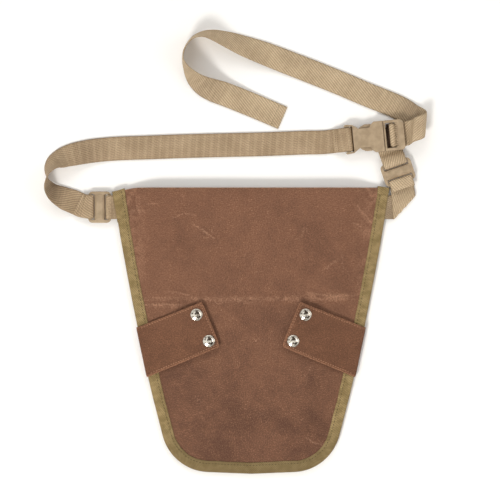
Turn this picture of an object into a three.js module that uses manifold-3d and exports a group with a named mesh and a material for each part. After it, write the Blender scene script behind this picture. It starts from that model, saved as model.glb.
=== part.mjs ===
// Garden tool bag: a flat canvas pouch with two snapped side tabs and a webbing belt with a side-release
// buckle, lying face up. Millimetres. +Y runs from the pouch's foot to its mouth, +Z is up through its
// front, and z = 0 is the plane of the back panel's outer face. The origin is the middle of the back.
import * as THREE from 'three';
import { mergeVertices } from 'three/addons/utils/BufferGeometryUtils.js';
import Module from 'manifold-3d';

const wasm = await Module();
wasm.setup();

// ---- driving dimensions ------------------------------------------------------------------------

// Pouch: the right-hand edge of the panels, carried past the mouth, then a round lower corner.
const MOUTH_Y = 150;
const SIDE = [[154, 215], [144.4, 150], [137.8, 107], [125.2, 38], [106.5, -52], [92, -110]];
const CORNER_CENTRE = [43.5, -97.9];
const CORNER_RADIUS = 50;
const CORNER_FROM = -14;
const CORNER_TO = -86;
const FOOT_Y = -149.7;

// Heights of the layers at the pouch's bound edge, lowest to highest.
const BINDING_LOW = [0.95, 1.55];
const BACK_RIM = [1.8, 2.5];
const FRONT_RIM = [4.3, 5.0];
const BINDING_HIGH = [5.25, 5.85];
const BINDING_WIDTH = 11;
const BINDING_THICK = 0.6;
const BINDING_GAP = 0.3;

// Inside the binding the back drops to z = 0 and the front rises to its crown.
const SLOPE_INSET = 12;
const CROWN_INSET = 42;
const CROWN_Z = 12;
const BACK_THICK = 1.7;
const FRONT_THICK = 1;
const BACK_STEP = 3;

// Side tabs, in the tab's own frame: x inward from the side edge, y along the edge, z up.
const TAB_ROOT = [113.7, -22.3];
const TAB_ANGLE = 11.94;
const TAB_CORNERS = [[-0.85, -26.8], [81.2, -11], [72.3, 38.7], [-0.85, 26.4]];
const TAB_THICK = 1.6;
const TAB_EDGE_Z = 6.15;
const TAB_TOP_Z = 15.5;
const TAB_SLOPE = [12.5, 52.5];
const ANCHOR_DEPTH = 42;
const ANCHOR_THICK = 0.65;
const ANCHOR_WALL = [-1.75, -0.45];
const ANCHOR_WALL_TOP = 3.5;
const RECESS_GAP = 0.3;

// Press snaps, in the tab's frame. Radii and heights of each pressed piece.
const SNAPS = [[63.6, 26.7], [70.6, -2.9]];
const SHANK_RADIUS = 1.2;
const SHANK_HOLE = 1.5;
const SNAP_SEGMENTS = 20;

// Webbing of the belt.
const WEB_WIDTH = 25;
const WEB_THICK = 1.3;
const ANCHOR_Y = 129.5;

// Sliders: three bars across x, in the slider's own frame.
const SLIDER_LENGTH = 24;
const SLIDER_WIDTH = 33;
const SLIDER_THICK = 2.4;
const SLIDER_CORNER = 4.5;
const SLIDER_Z = 3.65;
const SLOT_FROM = 4.5;
const SLOT_TO = 8.5;
const SLOT_HALF = 13.3;
const LEFT_SLIDER = [-159, ANCHOR_Y];
const RIGHT_SLIDER = [154.4, 166.4];
const RIGHT_SLIDER_TURN = 109;

// Buckle: x = 0 at the socket's mouth, x towards the adjuster, y across, z up.
const BUCKLE_AT = [139, 204];
const BUCKLE_TURN = 5.5;
const BUCKLE_HALF = 16;
const SOCKET_Z = [2.5, 11.5];
const CAVITY_Z = [4.6, 9.4];
const CAVITY_HALF = 14.4;
const ARM_Z = [5, 9];

// ---- helpers -----------------------------------------------------------------------------------

const radians = THREE.MathUtils.degToRad;
const SIDES = [-1, 1];
const UP = new THREE.Vector3(0, 0, 1);
const STEEPEST_LEVEL = 0.2;
const STEPS_PER_ROW = 2;

function toSolid(geometry) {
  const bare = geometry.clone();
  bare.deleteAttribute('normal');
  bare.deleteAttribute('uv');
  const merged = mergeVertices(bare, 1e-4);
  return new wasm.Manifold(new wasm.Mesh({
    numProp: 3,
    vertProperties: new Float32Array(merged.attributes.position.array),
    triVerts: new Uint32Array(merged.index.array),
  }));
}

function toGeometry(solid) {
  const mesh = solid.getMesh();
  const geometry = new THREE.BufferGeometry();
  geometry.setAttribute('position', new THREE.BufferAttribute(mesh.vertProperties, 3));
  geometry.setIndex(new THREE.BufferAttribute(mesh.triVerts, 1));
  return geometry;
}

function block(low, high) {
  const size = high.map((value, axis) => value - low[axis]);
  const middle = high.map((value, axis) => (value + low[axis]) / 2);
  return toSolid(new THREE.BoxGeometry(...size).translate(...middle));
}

function shapeOf(points) {
  return new THREE.Shape(points.map(([x, y]) => new THREE.Vector2(x, y)));
}

// An outline in x and y, filled between two heights.
function prism(points, bottom, top) {
  const geometry = new THREE.ExtrudeGeometry(shapeOf(points), { depth: top - bottom, bevelEnabled: false });
  return toSolid(geometry.translate(0, 0, bottom));
}

// A profile in x and z, filled between two values of y.
function profileAlongY(points, from, to) {
  const geometry = new THREE.ExtrudeGeometry(shapeOf(points), { depth: to - from, bevelEnabled: false });
  return toSolid(geometry.rotateX(Math.PI / 2).translate(0, to, 0));
}

function cylinderZ(radius, bottom, top, x, y, segments = SNAP_SEGMENTS) {
  const geometry = new THREE.CylinderGeometry(radius, radius, top - bottom, segments);
  return toSolid(geometry.rotateX(Math.PI / 2).translate(x, y, (top + bottom) / 2));
}

// A round piece about its own z axis, from a profile of radius and height.
function turned(profile, segments = SNAP_SEGMENTS) {
  const points = profile.map(([radius, z]) => new THREE.Vector2(radius, z));
  return new THREE.LatheGeometry(points, segments).rotateX(Math.PI / 2);
}

// Rounded rectangle about the origin.
function roundedOutline(length, width, radius, arcSteps = 4) {
  const points = [];
  for (let quarter = 0; quarter < 4; quarter += 1) {
    const signX = quarter === 0 || quarter === 3 ? 1 : -1;
    const signY = quarter < 2 ? 1 : -1;
    for (let step = 0; step <= arcSteps; step += 1) {
      const angle = radians(90 * (quarter + step / arcSteps));
      const x = signX * (length / 2 - radius) + radius * Math.cos(angle);
      const y = signY * (width / 2 - radius) + radius * Math.sin(angle);
      points.push([x, y]);
    }
  }
  return points;
}

function unionOf(solids) {
  return solids.reduce((whole, solid) => whole.add(solid));
}

function cutFrom(solid, cutters) {
  return cutters.reduce((whole, cutter) => whole.subtract(cutter), solid);
}

// Webbing follows a centre line of rows [x, y, z, roll in degrees]. Its face starts upwards.
class WebbingPath extends THREE.Curve {
  constructor(rows) {
    super();
    const points = rows.map(([x, y, z]) => new THREE.Vector3(x, y, z));
    this.centre = new THREE.CatmullRomCurve3(points, false, 'centripetal');
    this.rolls = rows.map((row) => radians(row[3] ?? 0));
  }

  getPoint(t, target) {
    return this.centre.getPoint(t, target);
  }

  getSpacedPoints(steps) {
    return this.centre.getPoints(steps);
  }

  rollAt(t) {
    const place = t * (this.rolls.length - 1);
    const row = Math.min(Math.floor(place), this.rolls.length - 2);
    return THREE.MathUtils.lerp(this.rolls[row], this.rolls[row + 1], place - row);
  }

  // The width stays level until it is rolled, and keeps its sense where the line goes over the top.
  computeFrenetFrames(steps) {
    const frames = { tangents: [], normals: [], binormals: [] };
    const across = new THREE.Vector3().crossVectors(this.centre.getTangent(0), UP);
    for (let step = 0; step <= steps; step += 1) {
      const tangent = this.centre.getTangent(step / steps);
      const level = new THREE.Vector3().crossVectors(tangent, UP);
      if (level.length() > STEEPEST_LEVEL) {
        across.copy(level).multiplyScalar(Math.sign(level.dot(across)));
      }
      across.addScaledVector(tangent, -across.dot(tangent)).normalize();
      const binormal = across.clone().applyAxisAngle(tangent, this.rollAt(step / steps));
      frames.tangents.push(tangent);
      frames.normals.push(new THREE.Vector3().crossVectors(binormal, tangent));
      frames.binormals.push(binormal);
    }
    return frames;
  }
}

function webbing(rows) {
  const section = shapeOf([
    [-WEB_THICK / 2, -WEB_WIDTH / 2],
    [WEB_THICK / 2, -WEB_WIDTH / 2],
    [WEB_THICK / 2, WEB_WIDTH / 2],
    [-WEB_THICK / 2, WEB_WIDTH / 2],
  ]);
  const steps = (rows.length - 1) * STEPS_PER_ROW;
  return new THREE.ExtrudeGeometry(section, { steps, extrudePath: new WebbingPath(rows) });
}

// ---- pouch outline -----------------------------------------------------------------------------

function pouchEdge() {
  const side = new THREE.SplineCurve(SIDE.map(([x, y]) => new THREE.Vector2(x, y))).getPoints(15);
  const corner = new THREE.EllipseCurve(
    ...CORNER_CENTRE, CORNER_RADIUS, CORNER_RADIUS, radians(CORNER_FROM), radians(CORNER_TO), true,
  ).getPoints(7).slice(1);
  const right = [...side, ...corner].map(({ x, y }) => [x, y]);
  const left = right.map(([x, y]) => [-x, y]);
  return [...left, [0, FOOT_Y], ...right.reverse()];
}

// The pouch's outline with its sides and foot moved inwards. Its top stays well past the mouth.
function pouchOutline(inset) {
  const edge = pouchEdge();
  return edge.map(([x, y], index) => {
    const runs = [edge.slice(index - 1, index + 1), edge.slice(index, index + 2)];
    const [first, second = first] = runs.filter((run) => run.length === 2).map(([a, b]) => {
      const run = Math.hypot(b[0] - a[0], b[1] - a[1]);
      return [-(b[1] - a[1]) / run, (b[0] - a[0]) / run];
    });
    const reach = inset / (1 + first[0] * second[0] + first[1] * second[1]);
    return [x + (first[0] + second[0]) * reach, y + (first[1] + second[1]) * reach];
  });
}

// A pillow block: the outline at one inset on the bottom, and at a larger inset on top.
function pillow(bottomInset, topInset, bottom, top) {
  const geometry = new THREE.ExtrudeGeometry(shapeOf(pouchOutline(topInset)), {
    depth: 1,
    bevelThickness: top - bottom,
    bevelSize: topInset - bottomInset,
    bevelSegments: 1,
  });
  const doubled = toSolid(geometry.translate(0, 0, bottom - 1));
  return doubled.intersect(block([-200, -200, bottom], [200, 250, top + 1]));
}

function trimAtMouth(solid) {
  return solid.intersect(block([-200, -200, -5], [200, MOUTH_Y, 30]));
}

// ---- pouch pieces ------------------------------------------------------------------------------

function inTabFrame(side, [x, y]) {
  const turn = radians(TAB_ANGLE);
  const inward = TAB_ROOT[0] - (x * Math.cos(turn) - y * Math.sin(turn));
  return [side * inward, TAB_ROOT[1] + x * Math.sin(turn) + y * Math.cos(turn)];
}

function anchorOutline(grow) {
  const [low, , , high] = TAB_CORNERS;
  const near = ANCHOR_WALL[0] - grow;
  const far = ANCHOR_DEPTH + grow;
  return [[near, low[1] - grow], [far, low[1] - grow], [far, high[1] + grow], [near, high[1] + grow]];
}

function backPanel() {
  const rim = prism(pouchOutline(0), ...BACK_RIM);
  const tray = prism(pouchOutline(SLOPE_INSET), 0, BACK_RIM[1]);
  const hollow = prism(pouchOutline(SLOPE_INSET + BACK_STEP), BACK_THICK, BACK_RIM[1] + 1);
  const recesses = SIDES.map((side) => {
    const outline = anchorOutline(RECESS_GAP).map((corner) => inTabFrame(side, corner));
    return prism(outline, -1, ANCHOR_THICK + RECESS_GAP);
  });
  return toGeometry(trimAtMouth(cutFrom(rim.add(tray), [hollow, ...recesses])));
}

function frontPanel() {
  const rim = prism(pouchOutline(0), ...FRONT_RIM);
  const crown = pillow(SLOPE_INSET, CROWN_INSET, FRONT_RIM[1] - 0.01, CROWN_Z);
  const lining = pillow(SLOPE_INSET + 0.5, CROWN_INSET + 0.5, FRONT_RIM[0] - 0.3, CROWN_Z - FRONT_THICK);
  const holes = SIDES.flatMap((side) => SNAPS.map((snap) => {
    const [x, y] = inTabFrame(side, snap);
    return cylinderZ(SHANK_HOLE, 8, 14, x, y);
  }));
  return toGeometry(trimAtMouth(cutFrom(rim.add(crown), [lining, ...holes])));
}

function edgeBinding() {
  const wrap = prism(pouchOutline(-BINDING_GAP - BINDING_THICK), BINDING_LOW[0], BINDING_HIGH[1]);
  const channel = prism(pouchOutline(-BINDING_GAP), BINDING_LOW[1], BINDING_HIGH[0]);
  const middle = prism(pouchOutline(BINDING_WIDTH), 0, BINDING_HIGH[1] + 1);
  const strapSlots = SIDES.map((side) => {
    const reach = [130 * side, 150 * side].sort((a, b) => a - b);
    return block([reach[0], ANCHOR_Y - SLOT_HALF, 2.2], [reach[1], ANCHOR_Y + SLOT_HALF, 4.95]);
  });
  return toGeometry(trimAtMouth(cutFrom(wrap, [channel, middle, ...strapSlots])));
}

// ---- side tabs, each in its own frame ----------------------------------------------------------

function mirrored(points, hand) {
  return points.map(([x, y]) => [x, hand * y]);
}

function tabAnchor(hand) {
  const patch = prism(mirrored(anchorOutline(0), hand), 0, ANCHOR_THICK);
  const edges = mirrored(anchorOutline(0), hand).map(([, y]) => y);
  const low = Math.min(...edges);
  const high = Math.max(...edges);
  return toGeometry(patch.add(block([ANCHOR_WALL[0], low, 0], [ANCHOR_WALL[1], high, ANCHOR_WALL_TOP])));
}

function tabFlap(hand) {
  const [slopeFrom, slopeTo] = TAB_SLOPE;
  const profile = [
    [-5, TAB_EDGE_Z], [slopeFrom, TAB_EDGE_Z], [slopeTo, TAB_TOP_Z], [100, TAB_TOP_Z],
    [100, TAB_TOP_Z + TAB_THICK], [slopeTo - 0.4, TAB_TOP_Z + TAB_THICK],
    [slopeFrom - 0.4, TAB_EDGE_Z + TAB_THICK], [-5, TAB_EDGE_Z + TAB_THICK],
  ];
  const outline = prism(mirrored(TAB_CORNERS, hand), 0, 30);
  const holes = SNAPS.map(([x, y]) => cylinderZ(SHANK_HOLE, 10, 20, x, hand * y));
  return toGeometry(cutFrom(profileAlongY(profile, -60, 60).intersect(outline), holes));
}

// ---- press snaps, about their own axes ---------------------------------------------------------

function snapCap() {
  const under = TAB_TOP_Z + TAB_THICK + 0.25;
  return turned([
    [0, TAB_TOP_Z], [SHANK_RADIUS, TAB_TOP_Z], [SHANK_RADIUS, under], [5.9, under],
    [6.25, under + 0.4], [5.4, under + 1], [3.4, under + 1.45], [1.4, under + 1.65], [0, under + 1.7],
  ]);
}

function snapSocket() {
  const top = TAB_TOP_Z - 0.3;
  return turned([
    [0, top - 0.4], [2.9, top - 0.4], [2.9, top - 1.8], [3.4, top - 2], [5, top - 2],
    [5.4, top - 1.6], [5.4, top - 0.3], [5.1, top], [0, top],
  ]);
}

function snapStud() {
  const base = CROWN_Z + 0.3;
  return turned([
    [0, base + 1.1], [1.6, base + 1.1], [1.6, base], [4.8, base], [5, base + 0.3], [4.6, base + 0.6],
    [2.2, base + 0.6], [2.4, base + 1.5], [1.8, base + 2.1], [0, base + 2.1],
  ]);
}

function snapPost() {
  const top = CROWN_Z - FRONT_THICK - 0.3;
  return turned([
    [0, top - 0.6], [4.9, top - 0.6], [5.2, top - 0.3], [5, top], [SHANK_RADIUS, top],
    [SHANK_RADIUS, CROWN_Z + 1], [0, CROWN_Z + 1],
  ]);
}

// ---- plastic hardware --------------------------------------------------------------------------

function slider() {
  const half = SLIDER_THICK / 2;
  const frame = prism(roundedOutline(SLIDER_LENGTH, SLIDER_WIDTH, SLIDER_CORNER), -half, half);
  const slots = SIDES.map((side) => {
    const reach = [SLOT_FROM * side, SLOT_TO * side].sort((a, b) => a - b);
    return block([reach[0], -SLOT_HALF, -5], [reach[1], SLOT_HALF, 5]);
  });
  const crest = profileAlongY([[-3.6, 0], [3.6, 0], [2.2, half + 0.7], [-2.2, half + 0.7]], -13, 13);
  return toGeometry(cutFrom(frame, slots).add(crest));
}

const SOCKET_OUTLINE = [
  [0, BUCKLE_HALF], [-9.5, BUCKLE_HALF], [-12.8, 13.2], [-14.2, 10.2], [-25, 9.8], [-32, 14.8],
  [-39.5, 15.6], [-41, 14],
];

function buckleSocket() {
  const lower = SOCKET_OUTLINE.map(([x, y]) => [x, -y]).reverse();
  const body = prism([...SOCKET_OUTLINE, ...lower], ...SOCKET_Z);
  const side = profileAlongY([
    [1, SOCKET_Z[0]], [1, SOCKET_Z[1]], [-24, SOCKET_Z[1]], [-32, 8.8], [-42, 7.6], [-42, 3.4], [-32, 2.5],
  ], -20, 20);
  const cavity = block([-27, -CAVITY_HALF, CAVITY_Z[0]], [5, CAVITY_HALF, CAVITY_Z[1]]);
  const slot = block([-35.3, -SLOT_HALF, 0], [-32, SLOT_HALF, 15]);
  const overBar = block([-45, -SLOT_HALF, 7], [-35.2, SLOT_HALF, 15]);
  const underBar = block([-45, -SLOT_HALF, 0], [-35.2, SLOT_HALF, 4]);
  const behindBar = block([-45, -SLOT_HALF, 0], [-39.4, SLOT_HALF, 15]);
  return toGeometry(cutFrom(body.intersect(side), [cavity, slot, overBar, underBar, behindBar]));
}

const INNER_BAR_X = 9.6;
const INNER_BAR_Z = 6.3;
const INNER_BAR_RADIUS = 1.6;

function bucklePlug() {
  const rails = SIDES.map((side) => {
    const reach = [13.2 * side, BUCKLE_HALF * side].sort((a, b) => a - b);
    return block([0.4, reach[0], 3], [22.5, reach[1], 10.4]);
  });
  const crossBar = block([0.4, -BUCKLE_HALF, 4.2], [2.6, BUCKLE_HALF, 9.8]);
  const innerBar = new THREE.CylinderGeometry(INNER_BAR_RADIUS, INNER_BAR_RADIUS, 28, 12);
  innerBar.translate(INNER_BAR_X, 0, INNER_BAR_Z);
  const endBar = profileAlongY([[17, 7.6], [21.9, 7.9], [21.9, 10], [21, 10.8], [17, 10.8]], -14, 14);
  const lip = profileAlongY([[13.2, 9.2], [14.4, 8.4], [17.5, 8], [17.5, 10.6], [14, 10.4]], -14, 14);
  const tongue = prism([[0.6, -4], [0.6, 4], [-15, 3.6], [-19, 1.6], [-19, -1.6], [-15, -3.6]], 5.2, 8.8);
  const whole = unionOf([...rails, crossBar, toSolid(innerBar), endBar, lip, tongue]);
  return toGeometry(whole.intersect(prism([
    [-25, -BUCKLE_HALF], [19.5, -BUCKLE_HALF], [22.5, -12.5], [22.5, 12.5], [19.5, BUCKLE_HALF],
    [-25, BUCKLE_HALF],
  ], 0, 15)));
}

const ARM_OUTLINE = [
  [0.1, 9], [0.1, 12.6], [-6, 13.3], [-11.6, 12.6], [-13, 14], [-18.5, 14.1], [-23.5, 12], [-25.6, 9.8],
  [-22, 9.2], [-14, 9.8], [-6, 10.4],
];

function buckleArm(hand) {
  return toGeometry(prism(mirrored(ARM_OUTLINE, hand), ...ARM_Z));
}

// ---- webbing routes ----------------------------------------------------------------------------

const LEFT_ANCHOR_ROUTE = [
  [-120, ANCHOR_Y, 3.4], [-138, ANCHOR_Y, 3.4], [-143.8, ANCHOR_Y, 3.5], [-146.4, ANCHOR_Y, 5.7],
  [-148.7, ANCHOR_Y, 6.6], [-151.3, ANCHOR_Y, 5.9], [-152.3, ANCHOR_Y, 3.65], [-151.3, ANCHOR_Y, 1.4],
  [-148.7, ANCHOR_Y, 0.7], [-145.6, ANCHOR_Y, 0.7],
];

// From the raw end over the socket's bar, round it, along the floor, round the left loop where the
// strap stands on edge and turns over, and round the slider's bar to the other raw end.
const LEFT_BELT_ROUTE = [
  [86.5, 199, 2.5, 0], [92, 199.4, 4.3], [97.4, 200, 7.5], [101.8, 200.4, 8.3], [104.8, 200.7, 7.5],
  [105.8, 200.8, 5.5], [104.8, 200.7, 3.5], [101.8, 200.4, 2.7], [96, 199.9, 1.6], [88, 199.1, 0.8],
  [76.7, 197.9, 0.7], [55.7, 197.4, 0.7], [13.7, 195.8, 0.7], [-28.4, 194.8, 0.7],
  [-70.4, 193.7, 0.7], [-112.4, 192.2, 0.7], [-143.9, 191, 0.7, 0], [-164.9, 189, 1.4, 3],
  [-175.4, 187.3, 2.5, 8], [-185.9, 185, 4, 15], [-196.4, 181.6, 6.3, 27], [-206.4, 175.6, 9.2, 44],
  [-211.6, 167.8, 11.6, 66], [-213.2, 159.3, 12.6, 90], [-211.5, 151.4, 11.9, 113],
  [-206.2, 144.4, 9.9, 132], [-196.4, 138.9, 5.5, 158], [-186.4, 135.2, 2, 175],
  [-178, 131.4, 0.9, 180], [-172.5, 130.2, 0.75, 180], [-169.2, 129.95, 0.7, 180],
  [-166.6, 129.9, 1.4, 180], [-165.6, 129.9, 3.65, 180], [-166.6, 129.9, 5.9, 180],
  [-169.2, 129.95, 6.6, 180], [-173.2, 130.3, 5.7, 180], [-177.5, 131.2, 4.3, 180],
  [-182, 133.2, 3.6, 180],
];

function fromBuckle([x, y, z, roll]) {
  const turn = radians(BUCKLE_TURN);
  const across = [x * Math.cos(turn) - y * Math.sin(turn), x * Math.sin(turn) + y * Math.cos(turn)];
  return [BUCKLE_AT[0] + across[0], BUCKLE_AT[1] + across[1], z, roll ?? 0];
}

// Under the plug, back on itself, round the inner bar and out under the end bar.
const TAIL_THROUGH_PLUG = [
  [4, 0, 2.2], [14, 0, 2.2], [21.5, 0, 2.2], [23, 0, 2.4], [23.6, 0, 3], [23, 0, 3.6], [21.5, 0, 3.75],
  [14, 0, 3.75], [9.6, 0, 3.75], [7.8, 0, 4.5], [7.05, 0, 6.3], [7.8, 0, 8.1], [9.6, 0, 8.85],
  [12, 0, 8], [14.5, 0, 6.9], [17.5, 0, 6.6],
];

// The free tail: it stands on edge and turns over at the right, lies along the top, stands on edge
// again round the left, and ends flat.
const TAIL_FREE = [
  [161.4, 206.2, 6.4, 0], [165.2, 207.3, 8.4, 0], [168.5, 208.7, 13.4, -4], [170.3, 210.2, 18.4, -5],
  [174, 211.4, 19.2, 0], [178.4, 213, 18.1, 13], [180.7, 214.1, 16.2, 25], [182, 215, 14.3, 40],
  [182.5, 215.6, 12.9, 55], [182.8, 216.1, 11.7, 72], [182.9, 216.5, 10.7, 90], [182.9, 217, 9.7, 108],
  [182.7, 217.5, 8.5, 125], [182.2, 218.2, 7.1, 140], [181.1, 219.2, 5.2, 155], [179.6, 220.3, 3.7, 165],
  [177.7, 221.5, 2.7, 172], [174.9, 223, 2.2, 180], [168.6, 226.8, 1, 180], [161.6, 230.9, 0.7, 180],
  [153.4, 235.3, 0.7, 180], [139.7, 241, 0.7, 180], [118.7, 249.4, 0.7, 180],
  [97.7, 258.4, 0.7, 180], [76.7, 266.9, 0.7, 180], [55.7, 275.2, 0.7, 180], [34.7, 283.3, 1.3, 183],
  [13.7, 291.2, 3.3, 192], [-7.4, 298.6, 6.2, 207], [-28.4, 306.2, 9.6, 227],
  [-38.9, 309.4, 11, 237], [-49.4, 310.6, 12, 249], [-59.6, 307.6, 12.5, 259],
  [-67, 300.2, 12.6, 266], [-70.6, 292, 12.6, 268], [-71.2, 283.8, 12.6, 267],
  [-68, 275.4, 12.2, 257], [-60, 264.4, 10.6, 235], [-49.4, 256.4, 7.6, 215], [-38.9, 252, 5, 200],
  [-28.4, 248.6, 2.9, 190], [-7.4, 240.5, 1.3, 183], [13.7, 231.8, 0.7, 180], [33.4, 223.3, 0.7, 180],
];

// Along the right slider's travel: distance from the centre of its far bar, and height.
const RIGHT_STRAP_PROFILE = [
  [7.4, 0.7], [3, 0.7], [0, 0.7], [-2.5, 1.4], [-3.5, 3.65], [-2.5, 5.9], [0, 6.6], [4, 5.6], [8, 3.5],
  [11, 1.4], [13, 0.75], [20, 0.7], [28, 0.7], [38, 0.7],
];

const BAR_OFFSET = (SLOT_TO + SLIDER_LENGTH / 2) / 2;

function rightStrapRoute() {
  const turn = radians(RIGHT_SLIDER_TURN);
  return RIGHT_STRAP_PROFILE.map(([along, z]) => [
    RIGHT_SLIDER[0] + (BAR_OFFSET + along) * Math.cos(turn),
    RIGHT_SLIDER[1] + (BAR_OFFSET + along) * Math.sin(turn), z,
  ]);
}

// The right anchor leaves the seam level, is creased over, and runs up to the slider's near bar.
const CREASE_AT = [161, 129];
const CREASE_TURN = 48;
const LOWER_BAND = [
  [120, ANCHOR_Y, 3.4], [136, ANCHOR_Y, 3.4], [142, ANCHOR_Y, 3.4], [145, ANCHOR_Y, 2.7],
  [149, ANCHOR_Y, 1.2], [153, ANCHOR_Y, 0.75], [162, ANCHOR_Y, 0.75], [178, ANCHOR_Y, 0.75],
];
const UPPER_BAND = [
  [161.8, 116, 2.4], [160.8, 132, 2.4], [160.2, 141, 2.3], [159.6, 147, 1.1], [158.7, 153, 0.75],
  [157.7, 156.7, 0.7], [156.9, 159.1, 1.4], [156.6, 160, 3.65], [156.9, 159.1, 5.9],
  [157.7, 156.7, 6.6], [159, 152.9, 5.7], [160.3, 149, 4.8],
];

function creaseSide(side) {
  const turn = radians(CREASE_TURN);
  const along = [Math.cos(turn), Math.sin(turn)];
  const across = [-Math.sin(turn) * side, Math.cos(turn) * side];
  const corners = [[-60, 0], [60, 0], [60, 90], [-60, 90]].map(([u, v]) => [
    CREASE_AT[0] + u * along[0] + v * across[0],
    CREASE_AT[1] + u * along[1] + v * across[1],
  ]);
  return prism(corners, -1, 30);
}

function rightAnchor() {
  const kept = creaseSide(1);
  const foldLength = WEB_WIDTH / Math.sin(radians(CREASE_TURN)) - 1;
  const fold = new THREE.CylinderGeometry(1.45, 1.45, foldLength, 10);
  fold.rotateZ(radians(CREASE_TURN) - Math.PI / 2).translate(...CREASE_AT, 1.6);
  const bands = [LOWER_BAND, UPPER_BAND].map((rows) => toSolid(webbing(rows)).intersect(kept));
  return toGeometry(unionOf([...bands, toSolid(fold)]));
}

// ---- assembly ----------------------------------------------------------------------------------

function finish(color, roughness, metalness = 0) {
  return new THREE.MeshStandardMaterial({ color, roughness, metalness });
}

const FINISHES = {
  canvas: () => finish(0x86604b, 0.8),
  tab: () => finish(0x7a5844, 0.8),
  binding: () => finish(0x968255, 0.85),
  webbing: () => finish(0xab9579, 0.85),
  plastic: () => finish(0xb09a7e, 0.45),
  nickel: () => finish(0xc8beb0, 0.2, 1),
};

const bag = new THREE.Group();

function add(parent, name, geometry, finishName) {
  const mesh = new THREE.Mesh(geometry, FINISHES[finishName]());
  mesh.name = name;
  parent.add(mesh);
}

function placed([x, y, z = 0], degrees = 0) {
  const group = new THREE.Group();
  group.position.set(x, y, z);
  group.rotation.z = radians(degrees);
  bag.add(group);
  return group;
}

add(bag, 'back_panel', backPanel(), 'canvas');
add(bag, 'front_panel', frontPanel(), 'canvas');
add(bag, 'edge_binding', edgeBinding(), 'binding');

const TAB_HANDS = [['left', -1, 1], ['right', 1, -1]];
for (const [word, side, hand] of TAB_HANDS) {
  const turn = side < 0 ? TAB_ANGLE : 180 - TAB_ANGLE;
  const frame = placed([side * TAB_ROOT[0], TAB_ROOT[1]], turn);
  add(frame, `${word}_tab_anchor`, tabAnchor(hand), 'tab');
  add(frame, `${word}_tab`, tabFlap(hand), 'tab');
  SNAPS.forEach(([x, y], index) => {
    const number = index + 1;
    const pieces = { cap: snapCap(), socket: snapSocket(), stud: snapStud(), post: snapPost() };
    for (const [piece, geometry] of Object.entries(pieces)) {
      add(frame, `${word}_snap_${piece}_${number}`, geometry.translate(x, hand * y, 0), 'nickel');
    }
  });
}

add(bag, 'left_anchor_strap', webbing(LEFT_ANCHOR_ROUTE), 'webbing');
add(bag, 'left_belt', webbing(LEFT_BELT_ROUTE), 'webbing');
add(bag, 'belt_tail', webbing([...TAIL_THROUGH_PLUG.map(fromBuckle), ...TAIL_FREE]), 'webbing');
add(bag, 'right_strap', webbing(rightStrapRoute()), 'webbing');
add(bag, 'right_anchor_strap', rightAnchor(), 'webbing');

add(placed([...LEFT_SLIDER, SLIDER_Z]), 'left_slider', slider(), 'plastic');
add(placed([...RIGHT_SLIDER, SLIDER_Z], RIGHT_SLIDER_TURN), 'right_slider', slider(), 'plastic');

const buckle = placed(BUCKLE_AT, BUCKLE_TURN);
add(buckle, 'buckle_socket', buckleSocket(), 'plastic');
add(buckle, 'buckle_plug', bucklePlug(), 'plastic');
add(buckle, 'buckle_upper_arm', buckleArm(1), 'plastic');
add(buckle, 'buckle_lower_arm', buckleArm(-1), 'plastic');

export default bag;
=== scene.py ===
import math
from itertools import product

import bpy
import numpy as np
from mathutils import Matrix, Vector, noise


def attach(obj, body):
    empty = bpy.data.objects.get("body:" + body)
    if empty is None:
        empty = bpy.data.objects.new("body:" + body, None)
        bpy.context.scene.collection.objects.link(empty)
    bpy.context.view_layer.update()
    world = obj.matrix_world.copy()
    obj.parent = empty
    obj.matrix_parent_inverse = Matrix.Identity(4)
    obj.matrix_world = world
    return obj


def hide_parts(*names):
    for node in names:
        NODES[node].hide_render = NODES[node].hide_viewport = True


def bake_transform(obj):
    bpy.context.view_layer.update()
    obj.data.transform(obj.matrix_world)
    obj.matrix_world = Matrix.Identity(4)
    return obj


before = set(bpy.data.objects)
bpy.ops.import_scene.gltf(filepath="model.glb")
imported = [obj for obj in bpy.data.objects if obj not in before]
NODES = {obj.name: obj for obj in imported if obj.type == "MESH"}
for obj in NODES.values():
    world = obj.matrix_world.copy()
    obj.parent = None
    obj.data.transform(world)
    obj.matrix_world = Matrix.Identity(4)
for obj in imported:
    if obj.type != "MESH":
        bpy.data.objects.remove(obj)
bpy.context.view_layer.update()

# Garden tool bag: a flat canvas pouch with two snapped side tabs and a webbing belt.
# Lengths in the tables below are millimetres in the row frame; meshes are made in metres.
MM = 0.001

# ---- camera ----

VIEW_WIDTH = 0.525
LENS = 150.0
SENSOR = 36.0
VIEW_CENTRE = (-0.00105, 0.0845)
FOCUS_PLANE = 0.005

camera_data = bpy.data.cameras.new("camera")
camera_data.lens = LENS
camera_data.sensor_width = SENSOR
camera_data.clip_end = 50
camera = bpy.data.objects.new("camera", camera_data)
camera.location = (*VIEW_CENTRE, FOCUS_PLANE + VIEW_WIDTH * LENS / SENSOR)
bpy.context.scene.collection.objects.link(camera)
bpy.context.scene.camera = camera

# ---- helpers: numbers ----


def unit(v):
    """Vectors along the last axis, scaled to length one."""
    return v / np.maximum(np.linalg.norm(v, axis=-1, keepdims=True), 1e-12)


def smooth(x, low=0.0, high=1.0):
    """0 below low, 1 above high, smooth between."""
    t = np.clip((np.asarray(x, float) - low) / (high - low), 0, 1)
    return t * t * (3 - 2 * t)


def hump(x, width):
    """A bell curve: 1 where x is zero, falling off over the width."""
    return np.exp(-((x / width) ** 2))


def wander(points, scale, seed=0.0):
    """Smooth noise from -1 to 1 at each point; scale is its wavelength in millimetres."""
    return np.array([noise.noise(Vector((p[0] / scale + seed, p[1] / scale, seed * 1.7))) for p in points])


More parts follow.
